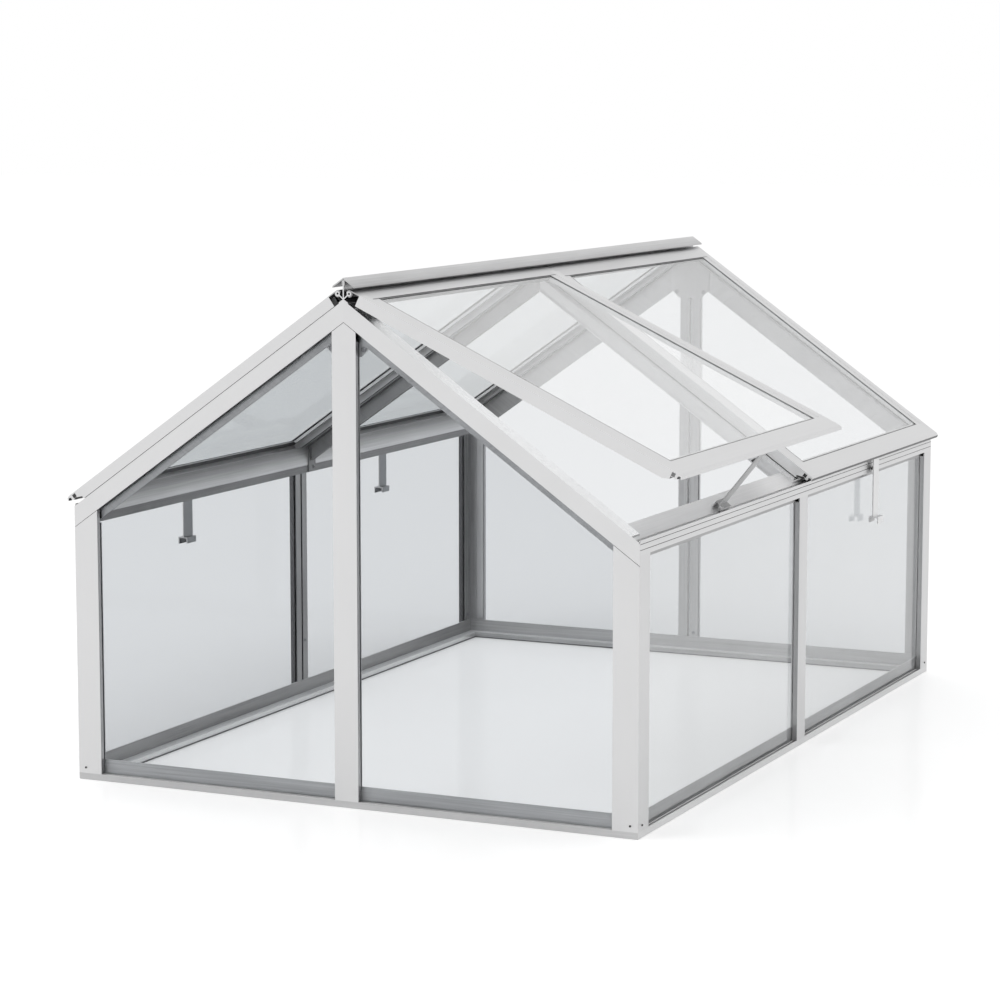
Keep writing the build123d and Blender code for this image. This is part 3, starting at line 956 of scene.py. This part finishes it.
def copy_of(piece: Object, name: str) -> Object:
    """Copies a piece with its own mesh.

    Args:
        piece: the piece to copy.
        name: the copy's name.

    Returns:
        The copy, in the scene.
    """
    twin = piece.copy()
    twin.data = piece.data.copy()
    twin.name = name
    bpy.context.scene.collection.objects.link(twin)
    return twin


@dataclass
class LidGaskets:
    """Rubber strip round the visible edge of each lid glass, on its upper side."""

    rack: FinishRack
    width: float = 0.0026
    height: float = 0.0009

    def build(self, lid: Lid) -> None:
        """Models the strip of one lid as a thin frame on the glass.

        Args:
            lid: the lid it lies on.
        """
        start = lid.head_margin
        stop = lid.nose - lid.foot_margin
        reach = 2 * (lid.half_length - lid.side_margin)
        strip = thin_frame(f"{lid.name}_lid_gasket", stop - start, reach, self.width, self.height)
        settle(strip, lid.point((start + stop) / 2, lid.glass_face), lid.turn)
        strip.data.materials.append(self.rack.rubber())
        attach(strip, f"{lid.name}_lid")
        log.info("built %s", strip.name)


@dataclass
class LedgeContactShadow:
    """Dark strip round the foot of the inner ledge, a painted contact shadow where the ledge meets
    the ground.
    """

    rack: FinishRack
    width: float = 0.0012
    height: float = 0.0018

    def build(self) -> None:
        """Models the strip as one thin frame on the ground."""
        strip = thin_frame("ledge_contact_shadow", 2 * (HALF_WIDTH - LEDGE_EDGE),
                           2 * (HALF_SPAN - LEDGE_EDGE), self.width, self.height)
        settle(strip, (0.0, MIDDLE, 0.0))
        strip.data.materials.append(self.rack.rubber())
        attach(strip, "frame")
        log.info("built %s", strip.name)


class Head(Enum):
    """Kinds of head: radius, corners, and recess as a share of the height."""

    BOLT = (0.0048, 6, 0.12)
    SCREW = (0.0034, 20, 0.65)
    PIN = (0.0017, 20, 0.65)


class Facing(Enum):
    """The way a head looks, as the turn that brings it there from looking up."""

    RIGHT = (0.0, math.pi / 2, 0.0)
    LEFT = (0.0, -math.pi / 2, 0.0)
    BACK = (-math.pi / 2, 0.0, 0.0)
    FRONT = (math.pi / 2, 0.0, 0.0)

    @classmethod
    def across(cls, way: int) -> "Facing":
        """To the left for -1 and to the right for 1."""
        return cls.RIGHT if way > 0 else cls.LEFT

    @classmethod
    def along(cls, way: int) -> "Facing":
        """To the front for -1 and to the back for 1."""
        return cls.BACK if way > 0 else cls.FRONT


@dataclass
class Fixings:
    """Screws, bolts and pins: one head of each kind is modelled, and the rest are copies.

    Rim and recess are shares of a head's radius, and dome one of its height. Depths of places
    are in from the skin of the gable.
    """

    rack: FinishRack
    head_height: float = 0.0018
    rim: float = 0.22
    dome: float = 0.25
    recess: float = 0.30
    gusset_bolt_out: float = 0.0285
    gusset_bolt_height: float = 0.7310
    face_pin_out: float = 0.487
    face_pin_height: float = 0.0198
    side_pin_depth: float = 0.0164
    side_pin_height: float = 0.0193
    corner_screw_depth: float = 0.0290
    corner_screw_height: float = 0.046
    centre_screw_right: float = 0.012
    centre_screw_height: float = 0.042
    mid_screw_past: float = 0.010
    mid_screw_height: float = 0.109
    patterns: dict[Head, Object] = field(default_factory=dict)

    def pattern(self, head: Head) -> Object:
        """Models a low head that looks up, with a raised middle and a recess in it.

        Args:
            head: the kind of head.

        Returns:
            The head, centred on the origin, so that it sits half sunk in its face.
        """
        radius, corners, drop = head.value
        piece = start_piece(f"{head.name.lower()}_pattern", bpy.ops.mesh.primitive_cylinder_add,
                            vertices=corners, radius=radius, depth=self.head_height)
        bpy.ops.mesh.select_all(action="DESELECT")
        bpy.ops.mesh.select_mode(type="FACE")
        bpy.ops.object.mode_set(mode="OBJECT")
        for face in piece.data.polygons:
            face.select = face.normal.z > ALONG
        bpy.ops.object.mode_set(mode="EDIT")
        bpy.ops.mesh.inset(thickness=radius * self.rim)
        bpy.ops.transform.translate(value=(0.0, 0.0, self.head_height * self.dome))
        bpy.ops.mesh.inset(thickness=radius * self.recess)
        bpy.ops.mesh.extrude_region_move(
            TRANSFORM_OT_translate={"value": (0.0, 0.0, -self.head_height * drop)})
        bpy.ops.object.mode_set(mode="OBJECT")
        return piece

    def place(self, head: Head, name: str, at: Point, facing: Facing) -> None:
        """Puts one head on a face.

        Args:
            head: the kind of head.
            name: the piece's name.
            at: its place on the face.
            facing: the way it looks.
        """
        if head not in self.patterns:
            self.patterns[head] = self.pattern(head)
        twin = copy_of(self.patterns[head], name)
        settle(twin, at, facing.value)
        steel = self.rack.dark_steel() if head is Head.PIN else self.rack.plated_steel()
        twin.data.materials.append(steel)
        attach(twin, "frame")

    def clear_patterns(self) -> None:
        """Removes the heads that the others were copied from."""
        for piece in self.patterns.values():
            bpy.data.objects.remove(piece)

    def build(self) -> None:
        """Places every screw, bolt and pin."""
        inner_x = HALF_WIDTH - INNER_BACK
        for end, way in ENDS:
            skin_y = FRONT if way < 0 else BACK
            inner_y = skin_y - way * INNER_BACK
            nut_y = skin_y - way * (INNER_BACK + SHEET)
            side_pin_y = skin_y - way * self.side_pin_depth
            screw_y = skin_y - way * self.corner_screw_depth
            out, into = Facing.along(way), Facing.along(-way)
            for name, side in SIDES:
                bolt_x = side * self.gusset_bolt_out
                for head, kind, at, facing in (
                    (Head.BOLT, "gusset_nut", (bolt_x, nut_y, self.gusset_bolt_height), into),
                    (Head.BOLT, "gusset_bolt", (bolt_x, inner_y, self.gusset_bolt_height), out),
                    (Head.PIN, "post_face_pin",
                     (side * self.face_pin_out, skin_y, self.face_pin_height), out),
                    (Head.PIN, "post_side_pin",
                     (side * HALF_WIDTH, side_pin_y, self.side_pin_height), Facing.across(side)),
                    (Head.SCREW, "post_foot_screw",
                     (side * inner_x, screw_y, self.corner_screw_height), Facing.across(-side)),
                ):
                    self.place(head, f"{end}_{name}_{kind}", at, facing)
            self.place(Head.SCREW, f"{end}_post_foot_screw",
                       (self.centre_screw_right, inner_y, self.centre_screw_height), into)
        for name, side in SIDES:
            self.place(Head.SCREW, f"{name}_mid_post_foot_screw",
                       (side * inner_x, MIDDLE + self.mid_screw_past, self.mid_screw_height),
                       Facing.across(-side))
        self.clear_patterns()
        log.info("built the screws and bolts")


@dataclass
class StayLeaves:
    """Small three-cornered stop on the inner face of each stay, below its head."""

    rack: FinishRack
    below_head: float = 0.023
    radius: float = 0.01
    reach: float = 0.0062
    half_width: float = 0.0075
    flattening: float = 0.5
    bevel: float = 0.0006

    def build(self, lid: Lid) -> None:
        """Models the stop of one stay.

        Args:
            lid: the lid that the stay hangs from.
        """
        leaf = start_piece(f"{lid.name}_stay_leaf", bpy.ops.mesh.primitive_cylinder_add, vertices=3,
                           radius=self.radius, depth=2 * self.half_width,
                           rotation=Facing.FRONT.value)
        places = [vertex.co.x for vertex in leaf.data.vertices]
        fit = self.reach / (max(places) - min(places))
        bpy.ops.transform.resize(value=(fit, 1.0, self.flattening))
        bpy.ops.mesh.bevel(offset=self.bevel, segments=2, affect="EDGES")
        close_piece()
        inward = (SHEET + self.reach) / 2
        at = lid.groove + lid.stay_down * self.below_head - lid.stay_outward * inward
        settle(leaf, tuple(at), (0.0, lid.side * lid.stay_tilt, 0.0))
        leaf.data.materials.append(self.rack.dark_steel())
        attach(leaf, f"{lid.name}_stay")
        log.info("built %s", leaf.name)


@dataclass(frozen=True)
class PlugShape:
    """A plug's place behind the nose and over the hinge plane, its size, and its lean."""

    back: float
    above: float
    length: float
    height: float
    lean: float = 0.0


@dataclass
class NosePlugs:
    """Plugs at both ends of each bottom rail: a square one, and on a closed lid a flat dark one,
    which is a painted shadow in the hollow end of the rail.
    """

    rack: FinishRack
    nose: PlugShape = PlugShape(back=0.0154, above=0.0002, length=0.0063, height=0.0062)
    rail: PlugShape = PlugShape(back=0.0208, above=-0.0070, length=0.0145, height=0.0030,
                                lean=math.radians(22.3))
    proud: float = 0.0004
    edge: float = 0.00012

    def plug(self, lid: Lid, name: str, shape: PlugShape, across: float) -> None:
        """Models one plug as a thin plate with bevelled edges.

        Args:
            lid: the lid it sits on.
            name: the piece's name.
            shape: its place and size in the section of the rail.
            across: its distance along the ridge from the middle of the lid.
        """
        piece = start_piece(name, bpy.ops.mesh.primitive_cube_add, size=1.0)
        bpy.ops.transform.resize(value=(shape.length, self.proud, shape.height))
        bpy.ops.mesh.bevel(offset=self.edge, segments=1, affect="EDGES")
        close_piece()
        settle(piece, lid.point(lid.nose - shape.back, shape.above, across),
               (0.0, lid.side * (lid.angle - shape.lean), 0.0))
        # Plugs on a closed lid take the dark steel as painted shade; on the propped lid they take
        # the paler rubber.
        finish = self.rack.rubber() if lid.is_propped else self.rack.dark_steel()
        piece.data.materials.append(finish)
        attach(piece, f"{lid.name}_lid")

    def build(self, lid: Lid) -> None:
        """Models the plugs at the ends of one lid's bottom rail.

        Args:
            lid: the lid they sit on.
        """
        for end, way in ENDS:
            across = way * (lid.half_length + self.proud / 2)
            self.plug(lid, f"{lid.name}_nose_plug_{end}", self.nose, across)
            if not lid.is_propped:
                self.plug(lid, f"{lid.name}_rail_plug_{end}", self.rail, across)
        log.info("built the plugs of the %s lid", lid.name)


@dataclass
class EaveBrackets:
    """Plate that ties each middle rafter to the inside of the eave rail, with two screws."""

    rack: FinishRack
    fixings: Fixings
    half_width: float = 0.013
    bottom: float = 0.4305
    top: float = 0.4770
    edge: float = 0.0025
    low_screw_up: float = 0.0080
    high_screw_down: float = 0.0075
    screw_past: float = 0.005

    def build(self, name: str, side: int) -> None:
        """Models one plate with rounded corners, and its screws.

        Args:
            name: left or right.
            side: -1 for the left wall and 1 for the right one.
        """
        plate = start_piece(f"{name}_eave_bracket", bpy.ops.mesh.primitive_plane_add, size=1.0)
        bpy.ops.transform.resize(value=(self.top - self.bottom, 2 * self.half_width, 1.0))
        bpy.ops.mesh.bevel(offset=self.edge, segments=2, affect="VERTICES")
        thicken_piece(SHEET)
        settle(plate, (side * EAVE_BOX_FACE, MIDDLE, (self.bottom + self.top) / 2),
               Facing.across(-side).value)
        # The plate takes the eave box's darkest tone, as painted shade.
        plate.data.materials.append(self.rack.metal(Tone.BOX_LOW, Grain.ALONG_Z))
        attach(plate, "frame")
        screw_x = side * (EAVE_BOX_FACE - SHEET)
        for level, height in (("low", self.bottom + self.low_screw_up),
                              ("high", self.top - self.high_screw_down)):
            self.fixings.place(Head.SCREW, f"{name}_eave_bracket_screw_{level}",
                               (screw_x, MIDDLE + self.screw_past, height), Facing.across(-side))
        log.info("built %s", plate.name)


# ---- studio
@dataclass(frozen=True)
class WallLift:
    """Painted light on the floor within and near the walls, which lifts the object's shadow there,
    for one kind of ray.

    It fades from the first distance outside the walls to the second.
    """

    rays: str
    fade: tuple[float, float]
    strength: float


@dataclass
class Studio:
    """Pale floor with painted light that lifts the object's shadow within and near the walls, white
    surroundings, a soft lamp and the camera.
    """

    floor_size: float = 60.0
    floor_drop: float = 0.0005
    floor_colour: Colour = (0.80, 0.80, 0.80)
    sheen: float = 0.07
    sheen_roughness: float = 0.12
    floor_lift: float = 0.24
    inner_lift: WallLift = WallLift("Is Transmission Ray", (-0.06, -0.01), 0.20)
    outer_lift: WallLift = WallLift("Is Camera Ray", (0.10, 1.20), 0.11)
    world_light: float = 0.95
    lamp_at: Point = (-2.5, -2.5, 4.5)
    lamp_aim: Point = (0.0, MIDDLE, 0.3)
    lamp_size: float = 3.0
    lamp_power: float = 40.0
    camera_at: Point = (2.2039, -4.19915, 1.1304)
    azimuth: float = math.radians(24.78)
    elevation: float = math.radians(7.66)
    lens: float = 109.42
    sensor: float = 36.0
    clip: tuple[float, float] = (0.05, 200.0)

    def seen_directly(self, shader: Shader) -> Socket:
        """A factor that is 1 for rays that see a surface, by sight, by gloss or through glass.

        Args:
            shader: the material or world tree to add it to.

        Returns:
            The factor socket.
        """
        path = shader.add("ShaderNodeLightPath").outputs
        gloss = shader.maths("MAXIMUM", path["Is Camera Ray"], path["Is Glossy Ray"])
        return shader.maths("MAXIMUM", gloss, path["Is Transmission Ray"])

    def lift_of(self, shader: Shader, lift: WallLift) -> Socket:
        """The strength of one patch of painted light on the floor.

        Args:
            shader: the floor's material tree.
            lift: the lift.

        Returns:
            The strength socket.
        """
        start, stop = lift.fade
        total = shader.add("ShaderNodeLightPath").outputs[lift.rays]
        for axis, wall in (("X", HALF_WIDTH), ("Y", HALF_SPAN)):
            distance = shader.maths("ABSOLUTE", shader.axis(axis))
            within = shader.remap(distance, 1.0, 0.0, wall + start, wall + stop)
            total = shader.maths("MULTIPLY", total, within)
        return shader.maths("MULTIPLY", total, lift.strength)

    def build_floor(self) -> None:
        """Lays the pale floor, with a faint sheen, the object's shadow, and painted light that
        lifts that shadow within and near the walls.
        """
        bpy.ops.object.select_all(action="DESELECT")
        bpy.ops.mesh.primitive_plane_add(size=self.floor_size,
                                         location=(0.0, MIDDLE, -self.floor_drop))
        floor = bpy.context.object
        floor.name = "studio_floor"
        shader = Shader(bpy.data.materials.new("studio_floor"))
        matt = shader.add("ShaderNodeBsdfDiffuse", Color=(*self.floor_colour, 1.0))
        sheen = shader.add("ShaderNodeBsdfGlossy", Color=WHITE, Roughness=self.sheen_roughness)
        coat = shader.add("ShaderNodeMixShader", self.sheen, matt, sheen)
        walls = shader.maths("ADD", self.lift_of(shader, self.inner_lift),
                             self.lift_of(shader, self.outer_lift))
        strength = shader.maths("MULTIPLY_ADD", self.seen_directly(shader), self.floor_lift, walls)
        glow = shader.add("ShaderNodeEmission", Color=WHITE, Strength=strength)
        shader.close(shader.add("ShaderNodeAddShader", coat, glow))
        floor.data.materials.append(shader.owner)

    def build_world(self) -> None:
        """Sets even white surroundings, which look whiter than the light that they give."""
        world = bpy.data.worlds.new("studio_world")
        bpy.context.scene.world = world
        shader = Shader(world)
        light = shader.add("ShaderNodeBackground", Color=WHITE, Strength=self.world_light)
        seen = shader.add("ShaderNodeBackground", Color=WHITE, Strength=1.0)
        shader.close(shader.add("ShaderNodeMixShader", self.seen_directly(shader), light, seen))

    def build_lamp(self) -> None:
        """Hangs one soft square lamp."""
        data = bpy.data.lights.new("key_lamp", "AREA")
        data.shape = "SQUARE"
        data.size = self.lamp_size
        data.energy = self.lamp_power
        lamp = bpy.data.objects.new("key_lamp", data)
        lamp.location = self.lamp_at
        lamp.rotation_mode = "QUATERNION"
        aim = Vector(self.lamp_aim) - Vector(self.lamp_at)
        lamp.rotation_quaternion = aim.to_track_quat("-Z", "Y")
        bpy.context.scene.collection.objects.link(lamp)

    def build_camera(self) -> None:
        """Places the camera."""
        data = bpy.data.cameras.new("camera")
        data.lens = self.lens
        data.sensor_width = self.sensor
        data.clip_start, data.clip_end = self.clip
        camera = bpy.data.objects.new("camera", data)
        camera.location = self.camera_at
        camera.rotation_euler = Euler((math.pi / 2 - self.elevation, 0.0, self.azimuth))
        bpy.context.scene.collection.objects.link(camera)
        bpy.context.scene.camera = camera

    def build(self) -> None:
        """Builds the whole studio."""
        self.build_floor()
        self.build_world()
        self.build_lamp()
        self.build_camera()
        bpy.context.scene.view_settings.view_transform = "Standard"
        log.info("studio built")


def main() -> None:
    """Builds the looks, piece by piece."""
    logging.basicConfig(level=logging.INFO, format="%(name)s: %(message)s")
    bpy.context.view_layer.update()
    rack = FinishRack()
    FrameDresser(rack).dress_all(frame["nodes"])
    fittings = (LidGaskets(rack), StayLeaves(rack), NosePlugs(rack))
    for lid in LIDS:
        for fitting in fittings:
            fitting.build(lid)
    LedgeContactShadow(rack).build()
    fixings = Fixings(rack)
    brackets = EaveBrackets(rack, fixings)
    for name, side in SIDES:
        brackets.build(name, side)
    fixings.build()
    Studio().build()


if __name__ == "__main__":
    main()
